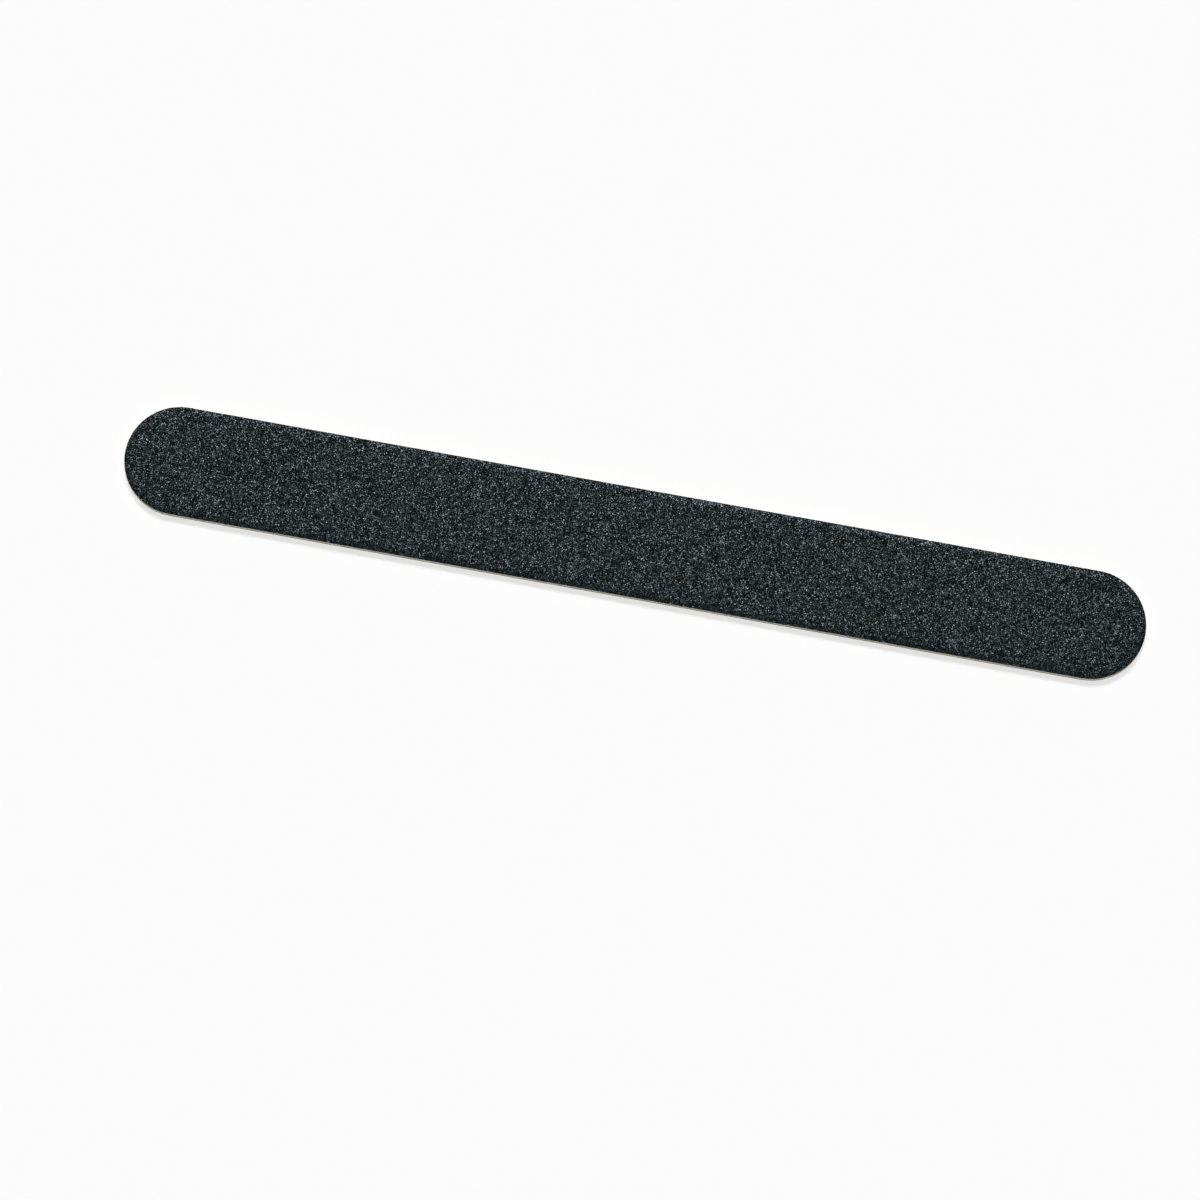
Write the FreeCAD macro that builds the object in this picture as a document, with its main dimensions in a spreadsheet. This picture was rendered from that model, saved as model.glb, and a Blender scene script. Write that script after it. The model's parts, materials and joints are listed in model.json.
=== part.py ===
# Emery board: a paperboard core with coarse abrasive paper above and fine abrasive paper below.
# Millimetres. X runs along the board, Y across it and Z up through its layers. The board lies on its
# fine face, with the origin under its middle. It is punched out from the coarse side, so the coarse
# rim is rolled over all round and the fine rim is crisp.

import FreeCAD, Part
import Sketcher
import math
import os

DRIVING_SIZES = [
    ("board_length", 178),
    ("board_width", 19),
    ("core_thickness", 1.25),
    ("roll_width", 0.70),
    ("roll_drop", 0.22),
    ("coarse_glue_thickness", 0.04),
    ("coarse_paper_thickness", 0.15),
    ("coarse_make_thickness", 0.05),
    ("coarse_grain_thickness", 0.13),
    ("coarse_size_thickness", 0.06),
    ("fine_glue_thickness", 0.04),
    ("fine_paper_thickness", 0.12),
    ("fine_make_thickness", 0.03),
    ("fine_grain_thickness", 0.06),
    ("fine_size_thickness", 0.04),
]

# Each layer from the underside up: its name and the size that makes it thick
FINE_LAYERS = [
    ("fine_size_coat", "fine_size_thickness"),
    ("fine_grain_bed", "fine_grain_thickness"),
    ("fine_make_coat", "fine_make_thickness"),
    ("fine_backing_paper", "fine_paper_thickness"),
    ("fine_glue_film", "fine_glue_thickness"),
]
COARSE_LAYERS = [
    ("coarse_glue_film", "coarse_glue_thickness"),
    ("coarse_backing_paper", "coarse_paper_thickness"),
    ("coarse_make_coat", "coarse_make_thickness"),
    ("coarse_grain_bed", "coarse_grain_thickness"),
    ("coarse_size_coat", "coarse_size_thickness"),
]

# How far the form that hollows a rolled layer runs on past the rim, as a share of the roll
overrun_share = 1.0
# How far down the blank of a rolled layer starts, as a share of the same stretch
blank_share = 0.5

doc = FreeCAD.newDocument("emery_board")
sheet = doc.addObject("Spreadsheet::Sheet", "Sizes")
for row, (alias, millimetres) in enumerate(DRIVING_SIZES, start=1):
    sheet.set(f"A{row}", alias)
    sheet.set(f"B{row}", str(millimetres))
    sheet.setAlias(f"B{row}", alias)
doc.recompute()


def size(alias):
    return f"{sheet.Name}.{alias}"


ROLL_WIDTH = size("roll_width")
ROLL_DROP = size("roll_drop")


def origin_plane(body, role):
    return next(plane for plane in body.Origin.OriginFeatures if plane.Role == role)


def outline_sketch(body, name, height, growth="0"):
    """The board's outline, two straight sides and two half-round ends, at a height in its body.

    A positive growth moves the whole outline outwards, and a negative one moves it inwards.
    """
    sketch = body.newObject("Sketcher::SketchObject", name)
    sketch.AttachmentSupport = (origin_plane(body, "XY_Plane"), "")
    sketch.MapMode = "FlatFace"
    sketch.setExpression("AttachmentOffset.Base.z", height)

    radius = sheet.board_width / 2
    reach = sheet.board_length / 2 - radius
    point = FreeCAD.Vector
    up = point(0, 0, 1)
    quarter = math.pi / 2
    lower_side = Part.LineSegment(point(-reach, -radius, 0), point(reach, -radius, 0))
    right_end = Part.ArcOfCircle(Part.Circle(point(reach, 0, 0), up, radius), -quarter, quarter)
    upper_side = Part.LineSegment(point(reach, radius, 0), point(-reach, radius, 0))
    left_end = Part.ArcOfCircle(Part.Circle(point(-reach, 0, 0), up, radius), quarter, 3 * quarter)
    lower, right, upper, left = sketch.addGeometry([lower_side, right_end, upper_side, left_end])

    start, end, centre = 1, 2, 3
    x_axis, origin = -1, (-1, 1)
    constraint = Sketcher.Constraint
    sketch.addConstraint([
        constraint("Tangent", lower, end, right, start),
        constraint("Tangent", right, end, upper, start),
        constraint("Tangent", upper, end, left, start),
        constraint("Tangent", left, end, lower, start),
        constraint("Symmetric", left, centre, right, centre, *origin),
        constraint("PointOnObject", right, centre, x_axis),
        constraint("Equal", left, right),
    ])
    end_radius = sketch.addConstraint(constraint("Radius", right, radius))
    end_reach = sketch.addConstraint(constraint("DistanceX", left, centre, right, centre, 2 * reach))
    sketch.setExpression(f"Constraints[{end_radius}]", f"{size('board_width')} / 2 + ({growth})")
    sketch.setExpression(f"Constraints[{end_reach}]", f"{size('board_length')} - {size('board_width')}")
    return sketch


def pad(body, sketch, length):
    feature = body.newObject("PartDesign::Pad", "Blank")
    feature.Profile = sketch
    feature.setExpression("Length", length)
    return feature


def loft(body, kind, lower, upper):
    feature = body.newObject(kind, "Roll")
    feature.Profile = lower
    feature.Sections = [upper]
    feature.Ruled = True
    return feature


def flat_layer(name, thickness):
    """A layer of the fine side: flat on both faces, with a square cut edge."""
    body = doc.addObject("PartDesign::Body", name)
    outline = outline_sketch(body, "Outline", "0")
    pad(body, outline, thickness)
    return body


def roll_over(body, thickness):
    """Top the body with the rolled rim: it falls from the flat face to the cut edge."""
    rim = outline_sketch(body, "Rim", f"{thickness} - {ROLL_DROP}")
    flat = outline_sketch(body, "Flat", thickness, f"-{ROLL_WIDTH}")
    loft(body, "PartDesign::AdditiveLoft", rim, flat)


def core_strip(name, thickness):
    """The core: flat below, rolled over above."""
    body = doc.addObject("PartDesign::Body", name)
    outline = outline_sketch(body, "Outline", "0")
    pad(body, outline, f"{thickness} - {ROLL_DROP}")
    roll_over(body, thickness)
    return body


def rolled_layer(name, thickness):
    """A layer of the coarse side: it follows the roll of the layer below at its full thickness."""
    body = doc.addObject("PartDesign::Body", name)
    fall = f"{ROLL_DROP} * {1 + overrun_share}"
    spread = f"{ROLL_WIDTH} * {overrun_share}"
    blank_fall = f"{ROLL_DROP} * {1 + overrun_share * blank_share}"
    outline = outline_sketch(body, "Outline", f"-{blank_fall}")
    pad(body, outline, f"{thickness} - {ROLL_DROP} + {blank_fall}")
    roll_over(body, thickness)
    under_rim = outline_sketch(body, "UnderRim", f"-{fall}", spread)
    under_flat = outline_sketch(body, "UnderFlat", "0", f"-{ROLL_WIDTH}")
    loft(body, "PartDesign::SubtractiveLoft", under_rim, under_flat)
    return body


def build_stack():
    """Lay the layers on one another, each placed on the sum of those below it."""
    makers = [(flat_layer, FINE_LAYERS)]
    makers.append((core_strip, [("core_strip", "core_thickness")]))
    makers.append((rolled_layer, COARSE_LAYERS))
    height = "0"
    bodies = []
    for make, layers in makers:
        for name, alias in layers:
            body = make(name, size(alias))
            body.Label = name
            body.setExpression("Placement.Base.z", height)
            height = f"{height} + {size(alias)}"
            bodies.append(body)
    return bodies


def check(bodies):
    for item in doc.Objects:
        if {"Invalid", "Error"} & set(item.State):
            raise RuntimeError(f"{item.Label} failed: {item.State}")
    for body in bodies:
        if body.Shape.isNull() or not body.Shape.isValid() or len(body.Shape.Solids) != 1:
            raise RuntimeError(f"{body.Label} isn't one valid solid")


pieces = build_stack()
doc.recompute()
check(pieces)
os.makedirs("parts", exist_ok=True)
for piece in pieces:
    piece.Shape.exportStep(f"parts/{piece.Label}.step")
    box = piece.Shape.BoundBox
    print(f"{piece.Label}: {piece.Shape.Volume:.3f} mm3, from {box.ZMin:.3f} to {box.ZMax:.3f} mm")
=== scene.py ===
import json
import math
import random

import bmesh
import bpy
import numpy as np
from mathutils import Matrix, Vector, noise

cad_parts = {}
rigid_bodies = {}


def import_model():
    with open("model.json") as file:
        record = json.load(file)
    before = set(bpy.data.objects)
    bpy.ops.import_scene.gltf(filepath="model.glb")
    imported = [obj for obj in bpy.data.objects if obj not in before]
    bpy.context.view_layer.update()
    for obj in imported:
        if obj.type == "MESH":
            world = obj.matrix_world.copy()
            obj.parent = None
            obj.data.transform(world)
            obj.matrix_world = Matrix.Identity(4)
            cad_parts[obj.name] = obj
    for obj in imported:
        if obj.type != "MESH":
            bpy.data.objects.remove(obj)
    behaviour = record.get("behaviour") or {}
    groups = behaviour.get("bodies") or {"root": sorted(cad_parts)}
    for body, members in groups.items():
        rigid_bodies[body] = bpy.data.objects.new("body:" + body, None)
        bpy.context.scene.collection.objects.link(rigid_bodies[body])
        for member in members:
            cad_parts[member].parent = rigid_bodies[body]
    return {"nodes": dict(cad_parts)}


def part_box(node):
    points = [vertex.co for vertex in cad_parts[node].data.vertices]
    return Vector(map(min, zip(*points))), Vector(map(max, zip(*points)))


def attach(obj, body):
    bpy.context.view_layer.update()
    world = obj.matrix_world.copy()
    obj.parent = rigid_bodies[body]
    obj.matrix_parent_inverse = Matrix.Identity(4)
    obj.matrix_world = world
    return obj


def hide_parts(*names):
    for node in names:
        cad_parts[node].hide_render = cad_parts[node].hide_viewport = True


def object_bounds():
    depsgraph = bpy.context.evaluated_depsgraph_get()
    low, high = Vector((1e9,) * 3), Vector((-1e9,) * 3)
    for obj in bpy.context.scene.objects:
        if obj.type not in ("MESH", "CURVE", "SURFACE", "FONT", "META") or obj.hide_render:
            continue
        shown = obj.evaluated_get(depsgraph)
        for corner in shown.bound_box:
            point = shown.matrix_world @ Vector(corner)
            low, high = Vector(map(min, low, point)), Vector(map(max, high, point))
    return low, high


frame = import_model()
cadLow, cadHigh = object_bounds()
scene = bpy.context.scene
print("emery board: frame loaded")


# The board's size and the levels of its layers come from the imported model, in metres
def topOf(node):
    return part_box(node)[1].z


def bottomOf(node):
    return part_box(node)[0].z


endRadius = cadHigh.y
reach = cadHigh.x - endRadius  # from the middle to the centre of a round end
rollDrop = topOf("coarse_grain_bed") - bottomOf("coarse_size_coat")
outline = {
    "rollWidth": 0.0007,  # as wide as the solids' own roll
    "stepLength": 0.0003,
    "mergeDistance": 0.000002,
}


# Mesh helpers
def sweepRound(profile, stepLength=outline["stepLength"]):
    # profile is (inset, height) pairs; a grid of them is wrapped once round: side, end, side, end
    rows = len(profile) - 1
    sideSteps = round(2 * reach / stepLength)
    endSteps = round(math.pi * endRadius / stepLength)
    columns = 2 * (sideSteps + endSteps)
    bm = bmesh.new()
    bmesh.ops.create_grid(bm, x_segments=columns, y_segments=rows, size=1)
    for vert in bm.verts:
        half, step = divmod(round((vert.co.x + 1) / 2 * columns), sideSteps + endSteps)
        inset, height = profile[round((vert.co.y + 1) / 2 * rows)]
        turn = math.pi * max(0, step - sideSteps) / endSteps
        middle = Vector((reach * (2 * min(step, sideSteps) / sideSteps - 1), 0, 0))
        place = middle + Vector((math.sin(turn), -math.cos(turn), 0)) * (endRadius - inset)
        vert.co = (place if half % 2 == 0 else -place) + Vector((0, 0, height))
    bmesh.ops.remove_doubles(bm, verts=bm.verts[:], dist=outline["mergeDistance"])
    return bm


def closeUp(bm):
    rims = [edge for edge in bm.edges if edge.is_boundary]
    if rims:
        bmesh.ops.holes_fill(bm, edges=rims, sides=0)
    bmesh.ops.recalc_face_normals(bm, faces=bm.faces[:])


def outwardAt(place):
    # level direction from the board's middle line out to the nearest edge, and the inset from that edge
    middle = Vector((max(-reach, min(reach, place.x)), 0, 0))
    out = Vector((place.x, place.y, 0)) - middle
    return out.normalized(), endRadius - out.length


def tearEdge(bm, layer):
    # the cut edge drawn in by torn fibres, up to the layer's fuzz
    for vert in bm.verts:
        out, inset = outwardAt(vert.co)
        if inset < outline["rollWidth"] / 2:
            place = Vector((vert.co.x, vert.co.y, vert.co.z * layer["fuzzRise"]))
            torn = noise.noise(place * layer["fuzzScale"])
            vert.co -= out * layer["fuzz"] * (0.5 + 0.5 * torn)


def newMesh(name, bm):
    mesh = bpy.data.meshes.new(name)
    bm.to_mesh(mesh)
    bm.free()
    return mesh


def newPiece(name, bm, finish, node):
    mesh = newMesh(name, bm)
    mesh.materials.append(finish)
    piece = bpy.data.objects.new(name, mesh)
    scene.collection.objects.link(piece)
    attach(piece, "root")
    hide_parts(node)
    print("emery board:", name, len(mesh.polygons), "faces")


# Material helpers
def newFinish(name):
    finish = bpy.data.materials.new(name)
    finish.use_nodes = True
    tree = finish.node_tree
    return finish, tree, tree.nodes["Principled BSDF"]


def addNode(tree, kind, **sockets):
    node = tree.nodes.new(kind)
    for name, value in sockets.items():
        node.inputs[name].default_value = value
    return node


def stretchedNoise(tree, scale, stretch=(1, 1, 1), detail=3.0):
    # noise in the piece's own coordinates; scale is repeats to the metre
    place = tree.nodes.new("ShaderNodeTexCoord")
    mapping = addNode(tree, "ShaderNodeMapping", Scale=stretch)
    spots = addNode(tree, "ShaderNodeTexNoise", Scale=scale, Detail=detail)
    tree.links.new(place.outputs["Object"], mapping.inputs["Vector"])
    tree.links.new(mapping.outputs["Vector"], spots.inputs["Vector"])
    return spots.outputs[0]


def colourBand(tree, source, stops):
    band = tree.nodes.new("ShaderNodeValToRGB")
    while len(band.color_ramp.elements) < len(stops):
        band.color_ramp.elements.new(1.0)
    for element, (place, colour) in zip(band.color_ramp.elements, stops):
        element.position = place
        element.color = (*colour, 1.0)
    tree.links.new(source, band.inputs["Fac"])
    return band.outputs["Color"]


def valueBand(tree, source, low, high):
    band = tree.nodes.new("ShaderNodeMapRange")
    band.inputs["To Min"].default_value = low
    band.inputs["To Max"].default_value = high
    tree.links.new(source, band.inputs["Value"])
    return band.outputs["Result"]


def colourAndRoughness(tree, shader, source, look):
    tree.links.new(colourBand(tree, source, look["colours"]), shader.inputs["Base Color"])
    tree.links.new(valueBand(tree, source, *look["roughness"]), shader.inputs["Roughness"])


def addBump(tree, shader, source, look):
    bump = addNode(tree, "ShaderNodeBump", Strength=look["bump"], Distance=look["bumpDepth"])
    tree.links.new(source, bump.inputs["Height"])
    tree.links.new(bump.outputs["Normal"], shader.inputs["Normal"])


def paperFinish(name, look):
    finish, tree, shader = newFinish(name)
    fibres = stretchedNoise(tree, look["fibreScale"], look["fibreStretch"], look["fibreDetail"])
    colourAndRoughness(tree, shader, fibres, look)
    addBump(tree, shader, fibres, look)
    return finish


def resinFinish(name, look):
    finish, tree, shader = newFinish(name)
    colourAndRoughness(tree, shader, stretchedNoise(tree, look["poolScale"]), look)
    shader.inputs["Specular IOR Level"].default_value = look["glint"]
    addBump(tree, shader, stretchedNoise(tree, look["rippleScale"]), look)
    return finish


# Paperboard core: pressed plies show on the cut edge
core = {
    "plies": 6,
    "plyShare": 0.92,  # of a ply's height, the rest is the groove to the next
    "plyDepth": (0.000004, 0.000026),
    "fuzz": 0.000022,
    "fuzzScale": 2600,
    "fuzzRise": 3,
    "seed": 11,
    "look": {
        "fibreScale": 5200,
        "fibreStretch": (0.10, 0.10, 1.0),
        "fibreDetail": 5.0,
        "colours": [(0.25, (0.70, 0.62, 0.47)), (0.50, (0.84, 0.78, 0.64)), (0.75, (0.90, 0.85, 0.73))],
        "roughness": (0.80, 0.95),
        "bump": 0.5,
        "bumpDepth": 0.00003,
    },
}


def makeCore():
    draw = random.Random(core["seed"])
    low, high = bottomOf("core_strip"), topOf("core_strip")
    plyHeight = (high - rollDrop - low) / core["plies"]
    profile = []
    for ply in range(core["plies"]):
        depth = draw.uniform(*core["plyDepth"])
        profile.append((depth, low + ply * plyHeight))
        profile.append((depth, low + (ply + core["plyShare"]) * plyHeight))
    profile.append((profile[-1][0], high - rollDrop))
    profile.append((outline["rollWidth"], high))
    bm = sweepRound(profile)
    tearEdge(bm, core)
    closeUp(bm)
    finish = paperFinish("cream_paperboard", core["look"])
    newPiece("paperboard_core", bm, finish, "core_strip")


# Backing papers: thin, with a slightly torn cut edge
papers = {
    "edgeGap": 0.000006,
    "fuzz": 0.000018,
    "fuzzScale": 3400,
    "fuzzRise": 1,
    "look": {
        "fibreScale": 6500,
        "fibreStretch": (0.16, 0.16, 1.0),
        "fibreDetail": 5.0,
        "colours": [(0.30, (0.60, 0.52, 0.38)), (0.70, (0.78, 0.71, 0.57))],
        "roughness": (0.78, 0.92),
        "bump": 0.4,
        "bumpDepth": 0.00002,
    },
}


def makePaper(name, node, drop, finish):
    low, high = bottomOf(node), topOf(node)
    thick = high - low - drop
    profile = [(papers["edgeGap"], height) for height in (low, low + thick / 2, low + thick)]
    if drop:
        profile = [(outline["rollWidth"], low + drop)] + profile + [(outline["rollWidth"], high)]
    bm = sweepRound(profile)
    tearEdge(bm, papers)
    closeUp(bm)
    newPiece(name, bm, finish, node)


# Abrasive coats: resin film between the grains, and the grains themselves
coarse = {
    "name": "coarse",
    "outward": 1,
    "bed": topOf("coarse_make_coat"),
    "tips": topOf("coarse_size_coat"),
    "drop": rollDrop,
    "filmRise": 0.00003,
    "filmRing": 0.00032,
    "filmRelief": 0.000016,
    "filmScale": 2600,
    "spacing": 0.00027,
    "crowd": 9.0e7,  # places tried to the square metre
    "grainSize": (0.00035, 0.00054),
    "grainHeight": 0.34,  # this and the next are shares of the size
    "grainSunk": 0.06,
    "wornShare": 0.65,
    "footCorners": (4, 5),
    "topCorners": 4,
    "seed": 5,
}
fine = {
    "name": "fine",
    "outward": -1,
    "bed": bottomOf("fine_make_coat"),
    "tips": bottomOf("fine_size_coat"),
    "drop": 0.0,
    "filmRise": 0.00004,
    "filmRing": 0.00036,
    "filmRelief": 0.000010,
    "filmScale": 4000,
    "spacing": 0.00021,
    "crowd": 8.0e7,
    "grainSize": (0.00026, 0.00038),
    "grainHeight": 0.22,
    "grainSunk": 0.06,
    "wornShare": 0.5,
    "footCorners": (4, 5),
    "topCorners": 2,
    "seed": 9,
}
film = {
    "rollSpread": 0.0013,  # the roll is eased in further than the solids' straight one
    "rollPower": 2.6,
    "rimShares": (0.0, 0.06, 0.14, 0.24, 0.38, 0.56, 0.78),
    "swellFade": 1.0,
    "swellStep": 2.0,
    "swellLayers": 2,
    "edgeGap": 0.000008,
    "edgeSway": 2,
    "edgeFineness": 2,
}
grains = {
    "shapes": 24,
    "footReach": (0.78, 1.10),
    "footSway": 0.3,
    "topSway": 0.4,
    "sharpReach": (0.15, 0.80),
    "sharpHeight": (0.35, 1.0),
    "wornReach": (0.50, 0.80),
    "wornHeight": 0.9,
    "lean": 0.16,
    "edgeGap": 0.00008,
    "bedStep": 0.0006,
    "trimGap": 0.000004,
    "mapRows": 3,
    "mapMargin": 0.004,
}
resinLook = {
    "poolScale": 1500,
    "colours": [(0.30, (0.0015, 0.002, 0.0025)), (0.70, (0.004, 0.0055, 0.006))],
    "roughness": (0.70, 0.90),
    "glint": 0.02,
    "rippleScale": 9000,
    "bump": 0.5,
    "bumpDepth": 0.00002,
}
grainLook = {
    "colours": [
        (0.00, (0.0022, 0.0030, 0.0035)),
        (0.50, (0.0108, 0.0149, 0.0171)),
        (0.85, (0.031, 0.041, 0.0465)),
        (1.00, (0.060, 0.077, 0.085)),
    ],
    "roughness": (0.42, 0.37),
    "refraction": 1.45,
    "glint": 0.67,
    "glintTint": (0.76, 0.93, 1.0, 1.0),
}


def grainFinish():
    finish, tree, shader = newFinish("black_carbide_grain")
    tone = tree.nodes.new("ShaderNodeAttribute")
    tone.attribute_name = "grainTone"
    colourAndRoughness(tree, shader, tone.outputs["Fac"], grainLook)
    shader.inputs["IOR"].default_value = grainLook["refraction"]
    shader.inputs["Specular IOR Level"].default_value = grainLook["glint"]
    shader.inputs["Specular Tint"].default_value = grainLook["glintTint"]
    return finish


def rollFall(coat, inset):
    left = max(0.0, 1 - inset / film["rollSpread"])
    return coat["drop"] * left ** film["rollPower"]


def filmProfile(coat, firstInset):
    # from the cut edge in to the middle line, close together on the rolled rim
    insets = [firstInset + film["rollSpread"] * share for share in film["rimShares"]]
    level = endRadius - film["rollSpread"]
    rings = round(level / coat["filmRing"])
    insets += [film["rollSpread"] + level / rings * step for step in range(rings)] + [endRadius]
    top = coat["bed"] + coat["outward"] * coat["filmRise"]
    return [(inset, top - rollFall(coat, inset)) for inset in insets]


def makeFilm(coat, finish):
    edge = film["edgeGap"]
    profile = [(edge, coat["bed"] - coat["drop"])] + filmProfile(coat, edge)
    if coat["drop"]:
        profile = [(outline["rollWidth"], coat["bed"])] + profile
    bm = sweepRound(profile)
    for vert in bm.verts:
        out, inset = outwardAt(vert.co)
        above = (vert.co.z - coat["bed"] + rollFall(coat, inset)) * coat["outward"]
        if above > coat["filmRise"] / 2:
            place = vert.co * coat["filmScale"]
            swell = noise.fractal(place, film["swellFade"], film["swellStep"], film["swellLayers"])
            vert.co.z += coat["outward"] * coat["filmRelief"] * swell
        if inset < 2 * edge:
            ripple = noise.noise(vert.co * coat["filmScale"] * film["edgeFineness"])
            vert.co -= out * edge * (1 + film["edgeSway"] * ripple)
    closeUp(bm)
    newPiece(coat["name"] + "_resin_film", bm, finish, coat["name"] + "_size_coat")


def addCorner(bm, turn, radius, height):
    bm.verts.new((radius * math.cos(turn), radius * math.sin(turn), height))


def makeGrainShapes(coat):
    # broken crystals: hulls of a foot that is sunk in the resin and a few higher corners
    draw = random.Random(coat["seed"])
    group = bpy.data.collections.new(coat["name"] + "GrainShapes")
    for count in range(grains["shapes"]):
        bm = bmesh.new()
        footCorners = draw.choice(coat["footCorners"])
        for corner in range(footCorners):
            sway = draw.uniform(-grains["footSway"], grains["footSway"])
            radius = draw.uniform(*grains["footReach"]) / 2
            addCorner(bm, (corner + sway) * 2 * math.pi / footCorners, radius, -coat["grainSunk"])
        worn = draw.random() < coat["wornShare"]  # a worn grain has a level top
        for corner in range(coat["topCorners"]):
            sway = draw.uniform(-grains["topSway"], grains["topSway"])
            radius = draw.uniform(*grains["wornReach" if worn else "sharpReach"]) / 2
            height = grains["wornHeight"] if worn else draw.uniform(*grains["sharpHeight"])
            turn = (corner + sway) * 2 * math.pi / coat["topCorners"]
            addCorner(bm, turn, radius, coat["grainHeight"] * height)
        hull = bmesh.ops.convex_hull(bm, input=bm.verts[:])
        loose = [item for item in hull["geom_interior"] if isinstance(item, bmesh.types.BMVert)]
        bmesh.ops.delete(bm, geom=loose, context="VERTS")
        bmesh.ops.recalc_face_normals(bm, faces=bm.faces[:])
        bmesh.ops.triangulate(bm, faces=bm.faces[:])
        mesh = newMesh(f"{group.name}{count:02d}", bm)
        group.objects.link(bpy.data.objects.new(mesh.name, mesh))
    return group


def randomField(tree, kind, seed, low, high):
    field = tree.nodes.new("FunctionNodeRandomValue")
    field.data_type = kind
    field.inputs["Seed"].default_value = seed
    place = {"FLOAT_VECTOR": 0, "FLOAT": 1}[kind]  # each kind has its own sockets
    field.inputs[2 * place].default_value = low
    field.inputs[2 * place + 1].default_value = high
    return field.outputs[place]


def markGrains(tree, source, label, value):
    mark = tree.nodes.new("GeometryNodeStoreNamedAttribute")
    mark.data_type = "FLOAT"
    mark.domain = "INSTANCE"
    mark.inputs["Name"].default_value = label
    tree.links.new(source, mark.inputs["Geometry"])
    tree.links.new(value, mark.inputs["Value"])
    return mark.outputs["Geometry"]


def scatterTree(coat, group):
    tree = bpy.data.node_groups.new(coat["name"] + "Scatter", "GeometryNodeTree")
    tree.interface.new_socket("Geometry", in_out="INPUT", socket_type="NodeSocketGeometry")
    tree.interface.new_socket("Geometry", in_out="OUTPUT", socket_type="NodeSocketGeometry")
    start = tree.nodes.new("NodeGroupInput")
    end = tree.nodes.new("NodeGroupOutput")
    spread = tree.nodes.new("GeometryNodeDistributePointsOnFaces")
    spread.distribute_method = "POISSON"
    spread.inputs["Distance Min"].default_value = coat["spacing"]
    spread.inputs["Density Max"].default_value = coat["crowd"]
    spread.inputs["Seed"].default_value = coat["seed"]
    shapes = tree.nodes.new("GeometryNodeCollectionInfo")
    shapes.inputs["Collection"].default_value = group
    shapes.inputs["Separate Children"].default_value = True
    shapes.inputs["Reset Children"].default_value = True
    place = tree.nodes.new("GeometryNodeInstanceOnPoints")
    place.inputs["Pick Instance"].default_value = True
    rotate = tree.nodes.new("GeometryNodeRotateInstances")
    where = tree.nodes.new("GeometryNodeInputPosition")
    split = tree.nodes.new("ShaderNodeSeparateXYZ")
    real = tree.nodes.new("GeometryNodeRealizeInstances")

    lean = grains["lean"]
    size = randomField(tree, "FLOAT", coat["seed"] + 1, *coat["grainSize"])
    turn = randomField(tree, "FLOAT_VECTOR", coat["seed"] + 2, (-lean, -lean, 0), (lean, lean, 2 * math.pi))
    tone = randomField(tree, "FLOAT", coat["seed"] + 3, 0.0, 1.0)

    link = tree.links.new
    link(start.outputs[0], spread.inputs["Mesh"])
    link(spread.outputs["Points"], place.inputs["Points"])
    link(spread.outputs["Rotation"], place.inputs["Rotation"])
    link(shapes.outputs[0], place.inputs["Instance"])
    link(size, place.inputs["Scale"])
    link(place.outputs[0], rotate.inputs["Instances"])
    link(turn, rotate.inputs["Rotation"])
    link(where.outputs[0], split.inputs[0])
    toned = markGrains(tree, rotate.outputs[0], "grainTone", tone)
    homed = markGrains(tree, toned, "grainHome", split.outputs["X"])
    link(homed, real.inputs["Geometry"])
    link(real.outputs[0], end.inputs[0])
    return tree


def cornersOf(mesh):
    places = np.empty(len(mesh.vertices) * 3, np.float32)
    mesh.vertices.foreach_get("co", places)
    return places.reshape(-1, 3)


def foldedMap(mesh):
    # the long strip laid in rows of a square map, so that each grain keeps its own patch
    rows, margin = grains["mapRows"], grains["mapMargin"]
    places = cornersOf(mesh)
    corners = np.empty(len(mesh.loops), np.int32)
    mesh.loops.foreach_get("vertex_index", corners)
    starts = np.empty(len(mesh.polygons), np.int32)
    counts = np.empty(len(mesh.polygons), np.int32)
    mesh.polygons.foreach_get("loop_start", starts)
    mesh.polygons.foreach_get("loop_total", counts)
    along = (places[:, 0] + cadHigh.x) / (2 * cadHigh.x) * rows
    across = (places[:, 1] + endRadius) / (2 * endRadius)
    row = np.clip(np.floor(along[corners[starts]]), 0, rows - 1)
    rowOfCorner = np.repeat(row, counts)
    u = margin + (along[corners] - rowOfCorner) * (1 - 2 * margin)
    v = (rowOfCorner + margin + across[corners] * (1 - 2 * margin)) / rows
    layer = mesh.uv_layers.new(name="OFBake")
    layer.uv.foreach_set("vector", np.stack([u, v], 1).astype(np.float32).ravel())


def trimToBoard(mesh, coat):
    # grains on the rim are sheared flush with the cut edge, and no tip stands above the worn level
    places = cornersOf(mesh).astype(np.float64)
    middle = np.clip(places[:, 0], -reach, reach)
    out = np.stack([places[:, 0] - middle, places[:, 1]], 1)
    far = np.maximum(np.linalg.norm(out, axis=1), outline["mergeDistance"])
    keep = np.minimum(1, (endRadius - grains["trimGap"]) / far)
    places[:, 0] = middle + out[:, 0] * keep
    places[:, 1] = out[:, 1] * keep
    lower = np.minimum if coat["outward"] > 0 else np.maximum
    places[:, 2] = lower(places[:, 2], coat["tips"])
    mesh.vertices.foreach_set("co", places.astype(np.float32).ravel())
    mesh.update()


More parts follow.
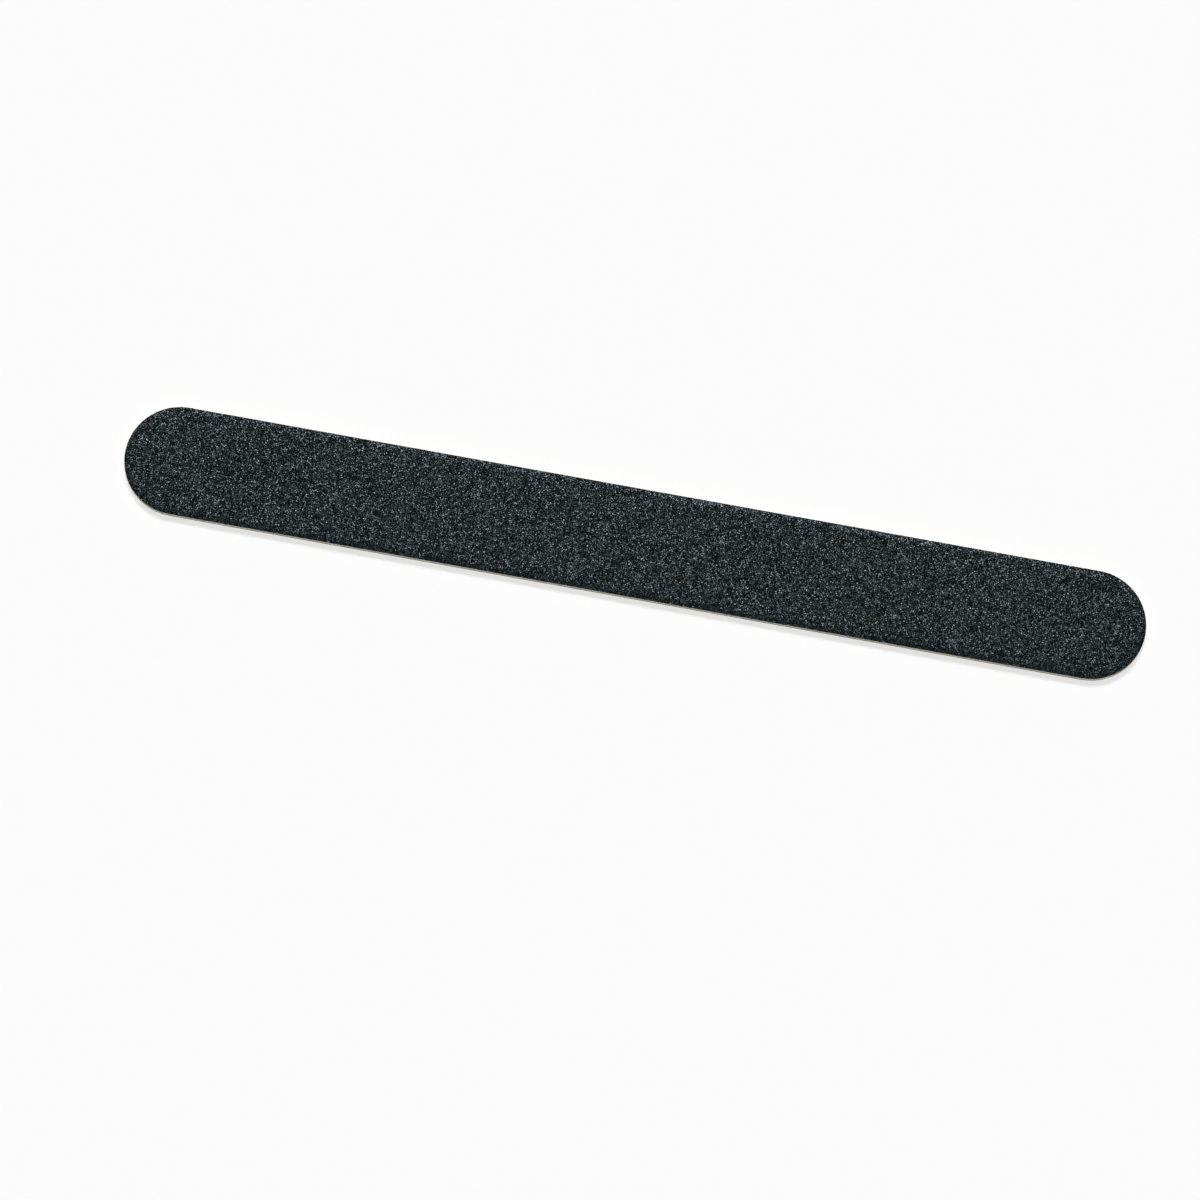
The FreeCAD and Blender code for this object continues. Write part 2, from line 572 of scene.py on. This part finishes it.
def growGrains(coat):
    # the film's face, scattered with grains, as one mesh
    bm = sweepRound(filmProfile(coat, grains["edgeGap"]), grains["bedStep"])
    if coat["outward"] < 0:
        bmesh.ops.reverse_faces(bm, faces=bm.faces[:])
    bed = bpy.data.objects.new(coat["name"] + "Bed", newMesh(coat["name"] + "Bed", bm))
    scene.collection.objects.link(bed)
    group = makeGrainShapes(coat)
    scatter = bed.modifiers.new("scatter", "NODES")
    scatter.node_group = scatterTree(coat, group)
    bpy.context.view_layer.update()
    depsgraph = bpy.context.evaluated_depsgraph_get()
    grown = bpy.data.meshes.new_from_object(bed.evaluated_get(depsgraph))
    bpy.data.objects.remove(bed)
    for shape in list(group.objects):
        bpy.data.objects.remove(shape)
    bpy.data.collections.remove(group)
    return grown


def makeGrains(coat, finish):
    grown = growGrains(coat)
    trimToBoard(grown, coat)
    foldedMap(grown)
    # halves along the board, each light enough for a piece of its own
    for half, side in (("left", -1), ("right", 1)):
        bm = bmesh.new()
        bm.from_mesh(grown)
        home = bm.verts.layers.float.get("grainHome")
        other = [vert for vert in bm.verts if vert[home] * side < 0]
        bmesh.ops.delete(bm, geom=other, context="VERTS")
        name = f"{coat['name']}_grains_{half}"
        newPiece(name, bm, finish, coat["name"] + "_grain_bed")
    bpy.data.meshes.remove(grown)


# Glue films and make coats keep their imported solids
glueLook = {
    "poolScale": 900,
    "colours": [(0.30, (0.58, 0.50, 0.35)), (0.70, (0.74, 0.67, 0.52))],
    "roughness": (0.45, 0.65),
    "glint": 0.5,
    "rippleScale": 6000,
    "bump": 0.3,
    "bumpDepth": 0.00001,
}
makeLook = {
    "poolScale": 1800,
    "colours": [(0.30, (0.010, 0.011, 0.012)), (0.70, (0.024, 0.027, 0.029))],
    "roughness": (0.40, 0.60),
    "glint": 0.5,
    "rippleScale": 8000,
    "bump": 0.4,
    "bumpDepth": 0.00001,
}


def dressKeptNodes():
    finishes = {
        "glue_film": resinFinish("dried_glue", glueLook),
        "make_coat": resinFinish("dark_make_resin", makeLook),
    }
    for coat in (coarse, fine):
        for layer, finish in finishes.items():
            for slot in frame["nodes"][f"{coat['name']}_{layer}"].material_slots:
                slot.material = finish
    print("emery board: kept layers dressed")


# Floor, light and camera
studio = {
    "paleColour": (0.96, 0.96, 0.96, 1),
    "paleRoughness": 0.9,
    "floorSize": 6.4,
    "floorGlow": 0.7,
    "backdropRadius": 3.0,
    "backdropHeight": 0.5,
    "backdropSides": 96,
    "backdropGlow": 1.0,
    "keyStrength": 3.15,
    "keyLean": 32,  # degrees off straight down, from the far side
    "keyTurn": 10,
    "keyAngle": 16,
    "skyStrength": 0.07,
}
view = {
    "framePixels": 1200,
    "boardPixels": 1036,
    "boardCentre": (634, 543.2),
    "boardSlope": 10.2,
    "elevation": 79,
    "lens": 200,
    "sensor": 36,
    "clipRatio": 100,
}


def seenRay(tree):
    # 1 where the background is seen, straight or in a reflection, and 0 where it lights the board
    path = tree.nodes.new("ShaderNodeLightPath")
    seen = path.outputs["Is Camera Ray"]
    for kind in ("Is Glossy Ray", "Is Transmission Ray"):
        either = tree.nodes.new("ShaderNodeMath")
        either.operation = "MAXIMUM"
        tree.links.new(seen, either.inputs[0])
        tree.links.new(path.outputs[kind], either.inputs[1])
        seen = either.outputs["Value"]
    return seen


def paleFinish(name, glow):
    # matt white that lights the board as paper does, and is seen as white by the share of its glow
    finish, tree, shader = newFinish(name)
    shader.inputs["Base Color"].default_value = studio["paleColour"]
    shader.inputs["Roughness"].default_value = studio["paleRoughness"]
    shader.inputs["Specular IOR Level"].default_value = 0.0
    white = addNode(tree, "ShaderNodeEmission", Color=(1, 1, 1, 1), Strength=1.0)
    blend = tree.nodes.new("ShaderNodeMixShader")
    tree.links.new(valueBand(tree, seenRay(tree), 0.0, glow), blend.inputs["Fac"])
    tree.links.new(shader.outputs["BSDF"], blend.inputs[1])
    tree.links.new(white.outputs["Emission"], blend.inputs[2])
    tree.links.new(blend.outputs["Shader"], tree.nodes["Material Output"].inputs["Surface"])
    return finish


def addStage(name, bm, finish):
    mesh = newMesh(name, bm)
    mesh.materials.append(finish)
    stage = bpy.data.objects.new(name, mesh)
    scene.collection.objects.link(stage)


def makeStudio():
    bm = bmesh.new()
    bmesh.ops.create_grid(bm, x_segments=1, y_segments=1, size=studio["floorSize"] / 2)
    addStage("studio_floor", bm, paleFinish("pale_floor", studio["floorGlow"]))

    bm = bmesh.new()
    radius, height, sides = studio["backdropRadius"], studio["backdropHeight"], studio["backdropSides"]
    bmesh.ops.create_cone(bm, cap_ends=False, segments=sides, radius1=radius, radius2=radius, depth=height)
    bmesh.ops.translate(bm, verts=bm.verts[:], vec=(0, 0, height / 2))
    addStage("studio_backdrop", bm, paleFinish("pale_backdrop", studio["backdropGlow"]))

    lamp = bpy.data.lights.new("key", "SUN")
    lamp.energy = studio["keyStrength"]
    lamp.angle = math.radians(studio["keyAngle"])
    key = bpy.data.objects.new("key", lamp)
    key.rotation_euler = (-math.radians(studio["keyLean"]), 0, math.radians(studio["keyTurn"]))
    scene.collection.objects.link(key)

    world = bpy.data.worlds.new("soft_room")
    scene.world = world
    world.use_nodes = True
    sky = world.node_tree.nodes["Background"]
    sky.inputs["Color"].default_value = (1, 1, 1, 1)
    sky.inputs["Strength"].default_value = studio["skyStrength"]
    print("emery board: studio lit")


def makeCamera():
    lens = bpy.data.cameras.new("camera")
    lens.lens = view["lens"]
    lens.sensor_width = view["sensor"]
    camera = bpy.data.objects.new("camera", lens)
    scene.collection.objects.link(camera)
    scene.camera = camera
    tilt = math.radians(view["elevation"])
    turn = math.atan(math.tan(math.radians(view["boardSlope"])) / math.sin(tilt))
    back = Vector((math.sin(turn) * math.cos(tilt), -math.cos(turn) * math.cos(tilt), math.sin(tilt)))
    facing = (-back).to_track_quat("-Z", "Y")
    seen = 2 * cadHigh.x * math.hypot(math.cos(turn), math.sin(turn) * math.sin(tilt))
    pixel = seen / view["boardPixels"]
    width = pixel * view["framePixels"]
    middle = (cadLow + cadHigh) / 2
    aside = facing @ Vector((1, 0, 0)) * (view["boardCentre"][0] - view["framePixels"] / 2) * pixel
    above = facing @ Vector((0, 1, 0)) * (view["framePixels"] / 2 - view["boardCentre"][1]) * pixel
    away = width * view["lens"] / view["sensor"]
    camera.rotation_mode = "QUATERNION"
    camera.rotation_quaternion = facing
    camera.location = middle - aside - above + back * away
    lens.clip_start = away / view["clipRatio"]
    lens.clip_end = away * view["clipRatio"]
    print("emery board: camera set")


makeCore()
backing = paperFinish("ivory_backing", papers["look"])
makePaper("coarse_paper", "coarse_backing_paper", rollDrop, backing)
makePaper("fine_paper", "fine_backing_paper", 0.0, backing)
resin = resinFinish("black_size_resin", resinLook)
grain = grainFinish()
for coat in (coarse, fine):
    makeFilm(coat, resin)
    makeGrains(coat, grain)
dressKeptNodes()
makeStudio()
makeCamera()
scene.view_settings.view_transform = "Standard"

print("emery board: finished")
